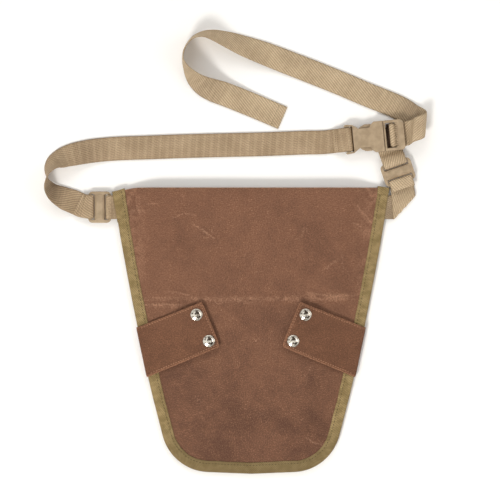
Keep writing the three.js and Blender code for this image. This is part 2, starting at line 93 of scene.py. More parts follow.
def hermite(a, b, leave, arrive, w):
    """A curve from a to b with the given tangents, at shares w of the way."""
    return a + leave * w + (3 * (b - a) - 2 * leave - arrive) * w**2 + (2 * (a - b) + leave + arrive) * w**3


def centripetal(points, steps):
    """A centripetal Catmull-Rom curve through the points: (points, row number of each)."""
    p = np.asarray(points, float)
    p = np.concatenate([[2 * p[0] - p[1]], p, [2 * p[-1] - p[-2]]])
    w = np.arange(steps)[:, None] / steps
    out, rows = [], []
    for i in range(len(p) - 3):
        a, b, c, d = p[i : i + 4]
        gap = [max(float(((v - u) ** 2).sum()) ** 0.25, 1e-4) for u, v in ((a, b), (b, c), (c, d))]
        leave = ((b - a) / gap[0] - (c - a) / (gap[0] + gap[1]) + (c - b) / gap[1]) * gap[1]
        arrive = ((c - b) / gap[1] - (d - b) / (gap[1] + gap[2]) + (d - c) / gap[2]) * gap[1]
        out.append(hermite(b, c, leave, arrive, w))
        rows.append(i + w[:, 0])
    return np.concatenate([*out, p[-2:-1]]), np.concatenate([*rows, [len(p) - 3.0]])


def distance_along(line):
    """Distance from a polyline's first point to each of its points."""
    return np.concatenate([[0], np.cumsum(np.linalg.norm(np.diff(line, axis=0), axis=1))])


def sample(line, run, at):
    """Points of a polyline where its distance along, run, is at."""
    return np.stack([np.interp(at, run, line[:, k]) for k in range(line.shape[1])], axis=-1)


def even(line, count):
    """A polyline as a given number of evenly spaced points."""
    run = distance_along(line)
    return sample(line, run, np.linspace(0, run[-1], count))


def spaced(points, step, *extra):
    """A polyline at even steps, anything else that varies along it, and the distances along it."""
    run = distance_along(points)
    at = np.linspace(0, run[-1], max(2, int(round(run[-1] / step)) + 1))
    return [sample(points, run, at)] + [np.interp(at, run, e) for e in extra] + [at]


def to_line(points, line):
    """Distance of each point from a broken line."""
    best = np.full(points.shape[:-1], np.inf)
    for a, b in zip(line[:-1], line[1:]):
        a, b = np.array(a, float), np.array(b, float)
        share = np.clip(((points - a) @ (b - a)) / ((b - a) @ (b - a)), 0, 1)
        best = np.minimum(best, np.linalg.norm(points - a - share[..., None] * (b - a), axis=-1))
    return best


# ---- helpers: meshes ----

THREAD_SIDES = 6
# Along one stitch: share of its length, share of its radius, height above its ends in radii.
THREAD_RINGS = [(0.0, 0.25, -0.5), (0.12, 0.8, 0.05), (0.5, 1.0, 0.35), (0.88, 0.8, 0.05), (1.0, 0.25, -0.5)]
THREAD_FLATNESS = 0.8


def mesh_object(name, vertices, faces, material, weave=None):
    """A smooth mesh object from vertices in millimetres. weave is the fabric coordinate of each vertex."""
    mesh = bpy.data.meshes.new(name)
    mesh.from_pydata((np.asarray(vertices, float) * MM).tolist(), [], faces)
    mesh.validate()
    mesh.polygons.foreach_set("use_smooth", [True] * len(mesh.polygons))
    if weave is not None:
        layer = mesh.attributes.new("weave", "FLOAT_VECTOR", "POINT")
        layer.data.foreach_set("vector", np.asarray(weave, np.float32).ravel())
    obj = bpy.data.objects.new(name, mesh)
    bpy.context.scene.collection.objects.link(obj)
    mesh.materials.append(material)
    return obj


def fabric(along, across, third=0.0):
    """Fabric coordinates from millimetres along and across the cloth, and a third value."""
    return np.stack(np.broadcast_arrays(along * MM, across * MM, third), axis=-1)


def cloth_shell(name, grid, half, material, weave, edge=None):
    """A closed sheet of cloth about a grid of centre points; half is its half thickness."""
    rows, cols = grid.shape[:2]
    normal = unit(np.cross(np.gradient(grid, axis=0), np.gradient(grid, axis=1)))
    half = np.broadcast_to(half, (rows, cols))[..., None]
    top, low = grid + normal * half, grid - normal * half
    vertices = np.concatenate([top.reshape(-1, 3), low.reshape(-1, 3)])
    code = np.concatenate([weave.reshape(-1, 3)] * 2)
    index = np.arange(rows * cols).reshape(rows, cols)
    a, b, c, d = index[:-1, :-1], index[1:, :-1], index[1:, 1:], index[:-1, 1:]
    upper = np.stack([a, b, c, d], axis=-1).reshape(-1, 4)
    lower = upper[:, ::-1] + rows * cols
    rim = np.concatenate([index[0, :-1], index[:-1, -1], index[-1, :0:-1], index[::-1, 0][:-1]])
    nxt = np.roll(rim, -1)
    wall = np.stack([rim, nxt, nxt + rows * cols, rim + rows * cols], axis=-1)
    obj = mesh_object(name, vertices, np.concatenate([upper, lower, wall]).tolist(), material, code)
    if edge is not None:
        layer = obj.data.attributes.new("edge", "FLOAT", "POINT")
        layer.data.foreach_set("value", np.tile(edge.ravel(), 2).astype(np.float32))
    return obj


def edge_half(count, thick, rounding=(0.35, 0.8)):
    """Half thickness across a strip, thinner at its two edges."""
    half = np.full(count, thick / 2)
    for k, share in enumerate(rounding):
        half[k] *= share
        half[-1 - k] *= share
    return half


def lathe(name, profile, place, material, segments=48):
    """A round piece about z through place = (x, y), from (radius, z) pairs that start and end at radius 0."""
    middle = profile[1:-1]
    turn = np.arange(segments) * 2 * math.pi / segments
    rings = [[(place[0] + r * math.cos(t), place[1] + r * math.sin(t), z) for t in turn] for r, z in middle]
    vertices = [(*place, profile[0][1]), (*place, profile[-1][1])] + [v for ring in rings for v in ring]
    faces = []
    last = 2 + (len(middle) - 1) * segments
    for i in range(segments):
        j = (i + 1) % segments
        faces += [(0, 2 + j, 2 + i), (1, last + i, last + j)]
        for at in range(2, last, segments):
            faces.append((at + i, at + j, at + segments + j, at + segments + i))
    return mesh_object(name, vertices, faces, material)


def thread(name, stitches, material, radius=0.26, sink=0.1):
    """Stitches as short bowed threads. Each is (from, to, outward normal), in millimetres."""
    vertices, faces = [], []
    for start, end, normal in stitches:
        start, end, normal = (np.asarray(v, float) for v in (start, end, normal))
        along = unit(end - start)
        side = unit(np.cross(normal, along))
        up = np.cross(along, side)
        first = len(vertices)
        for share, size, height in THREAD_RINGS:
            centre = start + (end - start) * share + up * (radius * height - sink)
            for angle in np.arange(THREAD_SIDES) * 2 * math.pi / THREAD_SIDES:
                spoke = side * math.cos(angle) + up * THREAD_FLATNESS * math.sin(angle)
                vertices.append(centre + spoke * radius * size)
        last = first + (len(THREAD_RINGS) - 1) * THREAD_SIDES
        for at in range(first, last, THREAD_SIDES):
            for k in range(THREAD_SIDES):
                n = (k + 1) % THREAD_SIDES
                faces.append((at + k, at + n, at + THREAD_SIDES + n, at + THREAD_SIDES + k))
        faces.append(tuple(first + k for k in reversed(range(THREAD_SIDES))))
        faces.append(tuple(last + k for k in range(THREAD_SIDES)))
    return mesh_object(name, vertices, faces, material)


def stitch_row(line, normals, pitch, share):
    """Stitches along a polyline, with the outward normal at each of its points."""
    line, normals = np.asarray(line, float), np.broadcast_to(np.asarray(normals, float), np.shape(line))
    run = distance_along(line)
    count = int(run[-1] / pitch)
    reach = pitch * share / 2
    middles = (np.arange(count) + 0.5) * run[-1] / count
    return list(zip(sample(line, run, middles - reach), sample(line, run, middles + reach),
                    sample(normals, run, middles)))


# ---- helpers: materials ----

# Fabric pitches in metres.
WARP_PITCH, WEFT_PITCH = 0.00095, 0.0011
TWILL_PITCH, PICK_PITCH, END_PITCH, BAND_PITCH = 0.00235, 0.00165, 0.0018, 0.0077
TWILL_SLANT = (0.5, -0.87)
DEEP_SHADE = (0.05, 0.025, 0.015, 1.0)
TUCKED_SHADE = (0.07, 0.035, 0.02, 1.0)


def linear(rgb, shade=1.0):
    """A colour in 0-255, times shade, as linear values with alpha."""
    shares = [c * shade / 255 for c in rgb]
    return (*[c / 12.92 if c <= 0.04045 else ((c + 0.055) / 1.055) ** 2.4 for c in shares], 1.0)


class Shader:
    """A small node tree builder around one Principled shader."""

    def __init__(self, name, base=(0, 0, 0), **sockets):
        self.colour = linear(base)
        self.material = bpy.data.materials.new(name)
        self.material.use_nodes = True
        self.tree = self.material.node_tree
        self.tree.nodes.clear()
        self.out = self.tree.nodes.new("ShaderNodeOutputMaterial")
        self.bsdf = self.tree.nodes.new("ShaderNodeBsdfPrincipled")
        self.tree.links.new(self.bsdf.outputs[0], self.out.inputs[0])
        for key, value in sockets.items():
            self.bsdf.inputs[key.replace("_", " ")].default_value = value

    def node(self, kind, inputs=None, **props):
        made = self.tree.nodes.new("ShaderNode" + kind)
        for key, value in props.items():
            setattr(made, key, value)
        for key, value in (inputs or {}).items():
            self.feed(made.inputs[key], value)
        return made

    def feed(self, socket, value):
        if isinstance(value, bpy.types.NodeSocket):
            self.tree.links.new(value, socket)
        else:
            socket.default_value = value

    def math(self, operation, a, b=0.0, clamp=False):
        return self.node("Math", {0: a, 1: b}, operation=operation, use_clamp=clamp).outputs[0]

    def plus(self, a, b):
        return self.math("ADD", a, b)

    def more(self, a, b):
        """The sum, kept between 0 and 1."""
        return self.math("ADD", a, b, clamp=True)

    def times(self, *values):
        made = values[0]
        for value in values[1:]:
            made = self.math("MULTIPLY", made, value)
        return made

    def off(self, value, middle):
        """How far a value is from the middle, either way."""
        return self.math("ABSOLUTE", self.math("SUBTRACT", value, middle))

    def wave(self, value, pitch):
        return self.math("SINE", self.times(value, 2 * math.pi / pitch))

    def attribute(self, name, output):
        return self.node("Attribute", attribute_name=name, attribute_type="GEOMETRY").outputs[output]

    def split(self, vector):
        return self.node("SeparateXYZ", {0: vector}).outputs

    def noise(self, vector, scale, detail=3.0, roughness=0.5, distortion=0.0):
        values = {"Vector": vector, "Scale": scale, "Detail": detail, "Roughness": roughness}
        return self.node("TexNoise", {**values, "Distortion": distortion}).outputs["Fac"]

    def ramp(self, value, low, high, out_low=0.0, out_high=1.0):
        given = {0: value, 1: low, 2: high, 3: out_low, 4: out_high}
        return self.node("MapRange", given, interpolation_type="SMOOTHSTEP").outputs[0]

    def coat(self, share, colour):
        """Lay a colour over what is there, by a share from 0 to 1."""
        self.colour = self.node("Mix", {0: share, 6: self.colour, 7: colour}, data_type="RGBA").outputs[2]

    def bump(self, height, distance, strength, normal=None):
        given = {"Height": height, "Distance": distance, "Strength": strength}
        if normal is not None:
            given["Normal"] = normal
        return self.node("Bump", given).outputs[0]

    def finish(self, roughness, normal):
        self.feed(self.bsdf.inputs["Base Color"], self.colour)
        self.feed(self.bsdf.inputs["Roughness"], roughness)
        self.feed(self.bsdf.inputs["Normal"], normal)
        return self.material


def canvas_material(name, dark, light, scuff, creases=()):
    """Waxed canvas: plain weave, mottled wax, pale cracks where it has been folded, rubbed edges."""
    s = Shader(name, dark, Specular_IOR_Level=0.12)
    at = s.attribute("weave", "Vector")
    x, y, _ = s.split(at)
    patches = s.noise(at, 16.0, 5.0, 0.6, 0.4)
    mottle = s.noise(at, 75.0, 6.0, 0.7, 0.6)
    grain = s.noise(at, 620.0, 3.0, 0.8)
    fleck = s.noise(at, 950.0, 2.0, 0.8)
    # Mottled wax; painted broad shading, paler towards the mouth and darker towards the foot; soiled in
    # patches.
    tone = s.plus(s.times(patches, 0.5), s.times(mottle, 0.5))
    s.coat(s.ramp(tone, 0.36, 0.62), linear(light))
    s.coat(s.ramp(y, -0.14, 0.14, 0.0, 0.6), linear(light))
    s.coat(s.ramp(y, -0.15, 0.09, 0.34, 0.0), linear(dark, 0.8))
    s.coat(s.ramp(patches, 0.34, 0.46, 0.22, 0.0), linear(dark, 0.86))
    # Fine cracks, rubbed flecks and worn borders.
    veins = s.ramp(s.off(s.noise(at, 13.0, 7.0, 0.6, 0.5), 0.5), 0.0, 0.009, 0.5, 0.0)
    sparse = s.ramp(s.noise(at, 23.0, 3.0, 0.5), 0.52, 0.66)
    marks = s.times(veins, sparse, s.ramp(grain, 0.34, 0.6))
    rubbed = s.times(s.ramp(fleck, 0.56, 0.7), s.ramp(mottle, 0.47, 0.66, 0.0, 0.6))
    marks = s.more(marks, rubbed)
    border = s.ramp(s.attribute("edge", "Fac"), 0.0, 0.0026, 1.0, 0.0)
    marks = s.more(marks, s.times(border, s.ramp(grain, 0.36, 0.6, 0.25, 1.0), 0.75))
    # Fold lines across the panel, and its rubbed flanks.
    for place, low, high, strength in creases:
        wobble = s.times(s.math("SUBTRACT", s.noise(at, 30.0 + 900 * strength, 3.0), 0.5), 0.009)
        band = s.ramp(s.off(s.plus(y, wobble), place), 0.0002, 0.0034, 1.0, 0.0)
        inside = s.times(s.ramp(x, low, low + 0.012), s.ramp(x, high - 0.03, high, 1.0, 0.0))
        broken = s.times(s.ramp(mottle, 0.36, 0.62), s.ramp(grain, 0.3, 0.62, 0.35, 1.0))
        marks = s.more(marks, s.times(band, inside, broken, strength))
    if creases:
        flank = s.times(s.ramp(s.off(x, 0.0), 0.102, 0.13), s.ramp(y, 0.02, 0.06), s.ramp(mottle, 0.4, 0.62))
        marks = s.more(marks, s.times(flank, 0.34))
    s.coat(s.times(marks, 0.66), linear(scuff))
    s.coat(s.ramp(grain, 0.36, 0.62, 0.5, 0.0), linear(dark, 0.78))
    s.coat(s.ramp(fleck, 0.5, 0.7, 0.0, 0.22), linear(scuff))
    weave = s.times(s.wave(x, WARP_PITCH), s.wave(y, WEFT_PITCH))
    s.coat(s.ramp(weave, -1.0, 1.0, 0.14, 0.0), DEEP_SHADE)
    normal = s.bump(s.plus(s.times(weave, 0.5), grain), 0.00016, 0.7)
    normal = s.bump(s.noise(at, 48.0, 6.0, 0.65, 0.3), 0.001, 0.5, normal)
    return s.finish(s.ramp(mottle, 0.3, 0.7, 0.74, 0.92), normal)


def tape_material(name, dark, light, pitch=0.0006, slant=1.0):
    """Twill tape or thread: fine slanted ribs, with worn stretches, darker towards the pouch's foot."""
    s = Shader(name, dark, Specular_IOR_Level=0.25, Sheen_Weight=0.1, Sheen_Roughness=0.5)
    at = s.attribute("weave", "Vector")
    u, v, height_up = s.split(at)
    rib = s.wave(s.plus(u, s.times(v, slant)), pitch)
    tone = s.noise(at, 110.0, 5.0, 0.65)
    grain = s.noise(at, 1100.0, 2.0, 0.7)
    s.coat(s.ramp(tone, 0.35, 0.65), linear(light))
    s.coat(s.ramp(height_up, -0.148, -0.09, 0.62, 0.0), linear(dark, 0.76))
    s.coat(s.ramp(rib, -1.0, 0.6, 0.55, 0.0), linear(dark, 0.6))
    s.coat(s.ramp(grain, 0.35, 0.7, 0.3, 0.0), linear(dark, 0.75))
    normal = s.bump(rib, 0.00012, 0.8)
    normal = s.bump(s.noise(at, 500.0, 3.0), 0.0002, 0.5, normal)
    return s.finish(s.ramp(grain, 0.3, 0.7, 0.75, 0.92), normal)


def webbing_material(name, dark, light, painted_highlight, plain_to=-1.0):
    """Nylon webbing: slanted twill lines crossed by fine picks, with painted highlights on the twill and in
    stripes, and painted shade where it is tucked away in shadow.

    Up to plain_to along the strap the picks and ends stand out and the twill is faint."""
    s = Shader(name, dark, Specular_IOR_Level=0.3)
    at = s.attribute("weave", "Vector")
    u, v, painted_darkness = s.split(at)
    slanted = s.ramp(u, plain_to, plain_to + 0.03, 0.22, 1.0)
    plain = s.ramp(u, plain_to, plain_to + 0.03, 1.0, 0.35)
    twill = s.wave(s.plus(s.times(u, TWILL_SLANT[0]), s.times(v, TWILL_SLANT[1])), TWILL_PITCH)
    pick = s.wave(u, PICK_PITCH)
    end = s.wave(v, END_PITCH)
    bands = s.wave(s.plus(u, s.times(v, 0.1)), BAND_PITCH)
    drift = s.noise(at, 42.0, 4.0, 0.6)
    grain = s.noise(at, 900.0, 2.0, 0.7)
    s.coat(s.ramp(drift, 0.3, 0.7), linear(light))
    s.coat(s.times(s.ramp(twill, -0.9, 0.3, 0.5, 0.0), slanted), linear(dark, 0.72))
    # Painted highlight along the twill's raised lines.
    s.coat(s.times(s.ramp(twill, 0.35, 0.95, 0.0, 0.26), slanted), linear(painted_highlight))
    for groove in (pick, end):
        s.coat(s.times(s.ramp(groove, -0.9, 0.3, 0.3, 0.0), plain), linear(dark, 0.7))
    # Painted highlight in faint stripes across the strap.
    s.coat(s.times(s.ramp(bands, 0.1, 1.0, 0.0, 0.15), plain), linear(painted_highlight))
    s.coat(s.ramp(grain, 0.36, 0.5, 0.3, 0.0), linear(dark, 0.72))
    s.coat(s.ramp(s.off(v, 0.0), 0.0108, 0.0124, 0.0, 0.3), linear(dark, 0.8))
    # Painted shade where the strap lies in shadow or tucked out of sight.
    s.coat(painted_darkness, TUCKED_SHADE)
    height = s.plus(s.times(twill, 0.65), s.times(pick, end, 0.35))
    return s.finish(s.ramp(grain, 0.3, 0.7, 0.55, 0.75), s.bump(height, 0.0003, 0.85))


def plastic_material(name, dark, light):
    """Moulded plastic with a fine spark-eroded grain and rubbed, slightly paler patches."""
    s = Shader(name, dark, Specular_IOR_Level=0.5, IOR=1.49)
    at = s.node("TexCoord").outputs["Object"]
    tone = s.noise(at, 120.0, 4.0, 0.6)
    grain = s.noise(at, 2200.0, 2.0, 0.6)
    s.coat(s.ramp(tone, 0.35, 0.65), linear(light))
    s.coat(s.ramp(grain, 0.4, 0.7, 0.0, 0.14), linear(dark, 0.8))
    return s.finish(s.ramp(tone, 0.3, 0.7, 0.36, 0.52), s.bump(grain, 0.00005, 0.5))


def metal_material(name, colour, tarnish):
    """Polished nickel plate with faint scratches and tarnish."""
    s = Shader(name, colour, Metallic=1.0)
    at = s.node("TexCoord").outputs["Object"]
    tone = s.noise(at, 260.0, 5.0, 0.65)
    scratch = s.noise(at, 1800.0, 3.0, 0.7, 2.0)
    s.coat(s.ramp(tone, 0.5, 0.68, 0.0, 0.75), linear(tarnish))
    return s.finish(s.ramp(scratch, 0.3, 0.7, 0.06, 0.16), s.bump(scratch, 0.00002, 0.4))


# Pale fold lines across the front: height up the panel, from and to across it, strength.
CREASES = [
    (0.0335, -0.122, 0.118, 0.5), (0.0305, -0.04, 0.02, 0.34), (0.0262, -0.118, -0.055, 0.4),
    (0.0372, 0.045, 0.125, 0.34), (0.125, -0.135, -0.09, 0.4),
]
CANVAS = canvas_material("canvas", (102, 70, 55), (136, 96, 74), (214, 166, 134), CREASES)
TAB_CANVAS = canvas_material("tab_canvas", (99, 67, 50), (124, 86, 65), (204, 148, 114))
BINDING = tape_material("binding", (140, 118, 76), (174, 150, 104), 0.0021, 0.9)
WEBBING = webbing_material("webbing", (179, 155, 123), (206, 181, 147), (236, 213, 181))
BELT_WEBBING = webbing_material("belt_webbing", (164, 139, 108), (188, 162, 130), (222, 198, 165), 0.315)
PLASTIC = plastic_material("plastic", (155, 134, 107), (174, 152, 123))
NICKEL = metal_material("nickel", (240, 232, 218), (104, 82, 60))
THREAD_BROWN = tape_material("thread_brown", (176, 126, 96), (210, 160, 124))
THREAD_OLIVE = tape_material("thread_olive", (74, 60, 34), (98, 82, 50))
THREAD_TAN = tape_material("thread_tan", (104, 82, 56), (132, 108, 78))

# ---- straps ----

WEB_HALF = 12.5
WEB_THICK = 1.3
WEB_COLS = 15
WEB_ACROSS = np.linspace(-WEB_HALF, WEB_HALF, WEB_COLS)
RIBBON_STEP = 1.3


def ribbon_rows(rows, rulings=None):
    """Evenly spaced centre points of a strap, its width direction, distance along it and row numbers.

    Between two row numbers, rulings gives the one direction the surface is straight in."""
    table = np.array([list(r) + [0.0] * (4 - len(r)) for r in rows], float)
    line, row = centripetal(table[:, :3], 16)
    roll = np.interp(row, np.arange(len(table)), table[:, 3])
    line, roll, row, run = spaced(line, RIBBON_STEP, roll, row)
    tangent = unit(np.gradient(line, axis=0))
    across, keep = [], np.cross(tangent[0], (0, 0, 1))
    for t, angle in zip(tangent, np.radians(roll)):
        level = np.cross(t, (0, 0, 1))
        if np.linalg.norm(level) > 0.2:
            keep = level * (1 if level @ keep > 0 else -1)
        keep = unit(keep - t * (keep @ t))
        across.append(keep * math.cos(angle) + np.cross(t, keep) * math.sin(angle))
    across = np.array(across)
    if rulings:
        first, last, direction = rulings
        share = smooth(row, first, first + 2) * (1 - smooth(row, last, last + 2))
        across = across * (1 - share[:, None]) + np.array(direction) * share[:, None]
    return line, across, run, row


def strap_grid(line, across):
    """The strap's centre surface."""
    return line[:, None, :] - across[:, None, :] * WEB_ACROSS[None, :, None]


def web_shell(name, grid, material, weave):
    return cloth_shell(name, grid, edge_half(WEB_COLS, WEB_THICK)[None, :], material, weave)


def strap(name, rows, material, painted_shade_rows=(), rulings=None):
    """A strap along the rows, with painted shade given as (row number, darkness) pairs where it lies in
    shadow or out of sight.
    """
    line, across, run, row = ribbon_rows(rows, rulings)
    painted_darkness = np.interp(row, *zip(*painted_shade_rows))[:, None] if painted_shade_rows else 0.0
    weave = fabric(run[:, None], WEB_ACROSS[None, :], painted_darkness)
    return web_shell(name, strap_grid(line, across), material, weave), line * MM


# Routes of the straps' middle lines: x, y, z and, where the strap tilts, its roll in degrees.
ANCHOR_Y = 129.5
LEFT_ANCHOR_ROUTE = [(x, ANCHOR_Y, z) for x, z in (
    (-120, 3.4), (-138, 3.4), (-143.8, 3.5), (-146.4, 5.7), (-148.7, 6.6), (-151.3, 5.9), (-152.3, 3.65),
    (-151.3, 1.4), (-148.7, 0.7), (-145.6, 0.7),
)]
LEFT_BELT_ROUTE = [
    (86.5, 199, 2.5, 0), (92, 199.4, 4.3), (97.4, 200, 7.5), (101.8, 200.4, 8.3), (104.8, 200.7, 7.5),
    (105.8, 200.8, 5.5), (104.8, 200.7, 3.5), (101.8, 200.4, 2.7), (96, 199.9, 1.6), (88, 199.1, 0.8),
    (76.7, 197.9, 0.7), (55.7, 197.4, 0.7), (13.7, 195.8, 0.7), (-28.4, 194.8, 0.7),
    (-70.4, 193.7, 0.7), (-112.4, 192.2, 0.7), (-143.9, 191, 0.7, 0), (-164.9, 189, 1.4, 3),
    (-175.4, 187.3, 2.5, 8), (-185.9, 185, 4, 15), (-196.4, 181.6, 6.3, 27), (-206.4, 175.6, 9.2, 44),
    (-211.6, 167.8, 11.6, 66), (-213.2, 159.3, 12.6, 90), (-211.5, 151.4, 11.9, 113),
    (-206.2, 144.4, 9.9, 132), (-196.4, 138.9, 5.5, 158), (-186.4, 135.2, 2, 175),
    (-178, 131.4, 0.9, 180), (-172.5, 130.2, 0.75, 180), (-169.2, 129.95, 0.7, 180),
    (-166.6, 129.9, 1.4, 180), (-165.6, 129.9, 3.65, 180), (-166.6, 129.9, 5.9, 180),
    (-169.2, 129.95, 6.6, 180), (-173.2, 130.3, 5.7, 180), (-177.5, 131.2, 4.3, 180),
    (-182, 133.2, 3.6, 180),
]
BUCKLE_AT = (139, 204)
BUCKLE_TURN = math.radians(5.5)


def from_buckle(x, y, z, *roll):
    """A place in the buckle's frame as one in the row frame."""
    c, s = math.cos(BUCKLE_TURN), math.sin(BUCKLE_TURN)
    return (BUCKLE_AT[0] + x * c - y * s, BUCKLE_AT[1] + x * s + y * c, z, *roll)


TAIL_THROUGH_PLUG = [from_buckle(x, 0, z, 0) for x, z in (
    (4, 2.2), (14, 2.2), (21.5, 2.2), (23, 2.4), (23.6, 3), (23, 3.6), (21.5, 3.75), (14, 3.75), (9.6, 3.75),
    (7.8, 4.5), (7.05, 6.3), (7.8, 8.1), (9.6, 8.85), (12, 8), (14.5, 6.9), (17.5, 6.6),
)]
TAIL_FREE = [
    (161.4, 206.2, 6.4, 0), (165.2, 207.3, 8.4, 0), (168.5, 208.7, 13.4, -4), (170.3, 210.2, 18.4, -5),
    (174, 211.4, 19.2, 0), (178.4, 213, 18.1, 13), (180.7, 214.1, 16.2, 25), (182, 215, 14.3, 40),
    (182.5, 215.6, 12.9, 55), (182.8, 216.1, 11.7, 72), (182.9, 216.5, 10.7, 90), (182.9, 217, 9.7, 108),
    (182.7, 217.5, 8.5, 125), (182.2, 218.2, 7.1, 140), (181.1, 219.2, 5.2, 155), (179.6, 220.3, 3.7, 165),
    (177.7, 221.5, 2.7, 172), (174.9, 223, 2.2, 180), (168.6, 226.8, 1, 180), (161.6, 230.9, 0.7, 180),
    (153.4, 235.3, 0.7, 180), (139.7, 241, 0.7, 180), (118.7, 249.4, 0.7, 180),
    (97.7, 258.4, 0.7, 180), (76.7, 266.9, 0.7, 180), (55.7, 275.2, 0.7, 180), (34.7, 283.3, 1.3, 183),
    (13.7, 291.2, 3.3, 192), (-7.4, 298.6, 6.2, 207), (-28.4, 306.2, 9.6, 227),
    (-38.9, 309.4, 11, 237), (-49.4, 310.6, 12, 249), (-59.6, 307.6, 12.5, 259),
    (-67, 300.2, 12.6, 266), (-70.6, 292, 12.6, 268), (-71.2, 283.8, 12.6, 267),
    (-68, 275.4, 12.2, 257), (-60, 264.4, 10.6, 235), (-49.4, 256.4, 7.6, 215), (-38.9, 252, 5, 200),
    (-28.4, 248.6, 2.9, 190), (-7.4, 240.5, 1.3, 183), (13.7, 231.8, 0.7, 180), (33.4, 223.3, 0.7, 180),
]
RIGHT_SLIDER = (154.4, 166.4)
SLIDER_TURN = math.radians(109)
BAR_OFFSET = 10.25
RIGHT_STRAP_PROFILE = [
    (7.4, 0.7), (3, 0.7), (0, 0.7), (-2.5, 1.4), (-3.5, 3.65), (-2.5, 5.9), (0, 6.6), (4, 5.6), (8, 3.5),
    (11, 1.4), (13, 0.75), (20, 0.7), (28, 0.7), (38, 0.7),
]
RIGHT_STRAP_ROUTE = [
    (RIGHT_SLIDER[0] + (BAR_OFFSET + along) * math.cos(SLIDER_TURN),
     RIGHT_SLIDER[1] + (BAR_OFFSET + along) * math.sin(SLIDER_TURN), z)
    for along, z in RIGHT_STRAP_PROFILE
]
LOWER_BAND = [(x, ANCHOR_Y, z) for x, z in (
    (120, 3.4), (136, 3.4), (142, 3.4), (145, 2.7), (149, 1.2), (153, 0.75), (162, 0.75), (178, 0.75),
)]
UPPER_BAND = [
    (161.8, 116, 2.4), (160.8, 132, 2.4), (160.2, 141, 2.3), (159.6, 147, 1.1), (158.7, 153, 0.75),
    (157.7, 156.7, 0.7), (156.9, 159.1, 1.4), (156.6, 160, 3.65), (156.9, 159.1, 5.9),
    (157.7, 156.7, 6.6), (159, 152.9, 5.7), (160.3, 149, 4.8),
]
CREASE_AT = np.array([161.0, 129.0])
CREASE_TURN = math.radians(48)
CREASE_BULGE = 0.9
CREASE_GAP = 0.4
LOWER_BAND_PAINTED_SHADE = 0.36


def creased_strap(name):
    """The right anchor strap: two flat bands that meet in a folded crease."""
    inward = np.array([-math.sin(CREASE_TURN), math.cos(CREASE_TURN)])
    parts = []
    for rows, count in ((LOWER_BAND, 34), (UPPER_BAND, 46)):
        grid = strap_grid(*ribbon_rows(rows)[:2])
        clear = (grid[..., :2] - CREASE_AT) @ inward > CREASE_GAP
        cut = np.empty((count, WEB_COLS, 3))
        for j in range(WEB_COLS):
            first, last = 0, len(grid) - 1
            if rows is LOWER_BAND:
                last -= np.argmax(clear[::-1, j])
            else:
                first = np.argmax(clear[:, j])
            cut[:, j] = sample(grid[:, j], np.arange(len(grid)), np.linspace(first, last, count))
        parts.append(cut)
    lower, upper = parts
    if np.linalg.norm(lower[-1, 0] - upper[0, 0]) > np.linalg.norm(lower[-1, 0] - upper[0, -1]):
        upper = upper[:, ::-1]
    turn = math.pi * np.arange(1, 8)[:, None, None] / 8
    middle, reach = (lower[-1] + upper[0]) / 2, (lower[-1] - upper[0]) / 2
    fold = middle + reach * np.cos(turn) - np.array([*inward, 0]) * CREASE_BULGE * np.sin(turn)
    grid = np.concatenate([lower, fold, upper])
    weave = fabric(distance_along(grid[:, WEB_COLS // 2])[:, None], WEB_ACROSS[None, :])
    # Painted shade over the whole lower band, which lies in shadow.
    weave[: len(lower), :, 2] = LOWER_BAND_PAINTED_SHADE
    return web_shell(name, grid, WEBBING, weave)


TAIL_ROUTE = TAIL_THROUGH_PLUG + TAIL_FREE
# The tail's turn beyond the plug is rolled over a level line at this angle, from and to these rows.
FOLD_TURN = math.radians(85.5)
FOLD_WIDEN = 1.05
TAIL_FOLD = (len(TAIL_THROUGH_PLUG), len(TAIL_THROUGH_PLUG) + 17,
             (-math.cos(FOLD_TURN) * FOLD_WIDEN, -math.sin(FOLD_TURN) * FOLD_WIDEN, 0))
# Painted shade on each strap, where it lies in shadow under the plug and in its loops and folds: row number
# and darkness.
BELT_PAINTED_SHADE = ((0, 0), (16, 0), (17.3, 0.15), (18.2, 0.15), (19.3, 0), (23.5, 0), (24.3, 0.34), (25, 0.26),
             (26.4, 0))
TAIL_PAINTED_SHADE = ((0, 0.9), (8.6, 0.9), (9.6, 0.35), (10.5, 0), (32, 0), (33, 0.34), (35, 0.28), (37, 0),
             (52.6, 0), (54, 0.2), (55, 0.16), (56.4, 0))
RIGHT_PAINTED_SHADE = ((0, 0), (10.4, 0), (11.4, 0.25), (12.2, 0.75), (13, 0.9))
strap_objects, strap_paths = {}, {}
for node, route, web, painted_shade_rows, rulings in (
    ("left_anchor_strap", LEFT_ANCHOR_ROUTE, BELT_WEBBING, (), None),
    ("left_belt", LEFT_BELT_ROUTE, BELT_WEBBING, BELT_PAINTED_SHADE, None),
    ("belt_tail", TAIL_ROUTE, WEBBING, TAIL_PAINTED_SHADE, TAIL_FOLD),
    ("right_strap", RIGHT_STRAP_ROUTE, WEBBING, RIGHT_PAINTED_SHADE, None),
):
    strap_objects[node], strap_paths[node] = strap(node + "_web", route, web, painted_shade_rows, rulings)
strap_objects["right_anchor_strap"] = creased_strap("right_anchor_strap_web")
for node, strap_object in strap_objects.items():
    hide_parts(node)
    if node != "left_belt":
        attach(strap_object, "pouch")
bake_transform(strap_objects["left_belt"])

# ---- pouch outline ----

MOUTH_Y = 150.0
SIDE = np.array([[154, 215], [144.4, 150], [137.8, 107], [125.2, 38], [106.5, -52], [92, -110]], float)
CORNER_CENTRE = np.array([43.5, -97.9])
CORNER_RADIUS = 50.0
CORNER_TOP = -100.0
FOOT_Y = -149.7
MOUTH_DROOP = 4.0


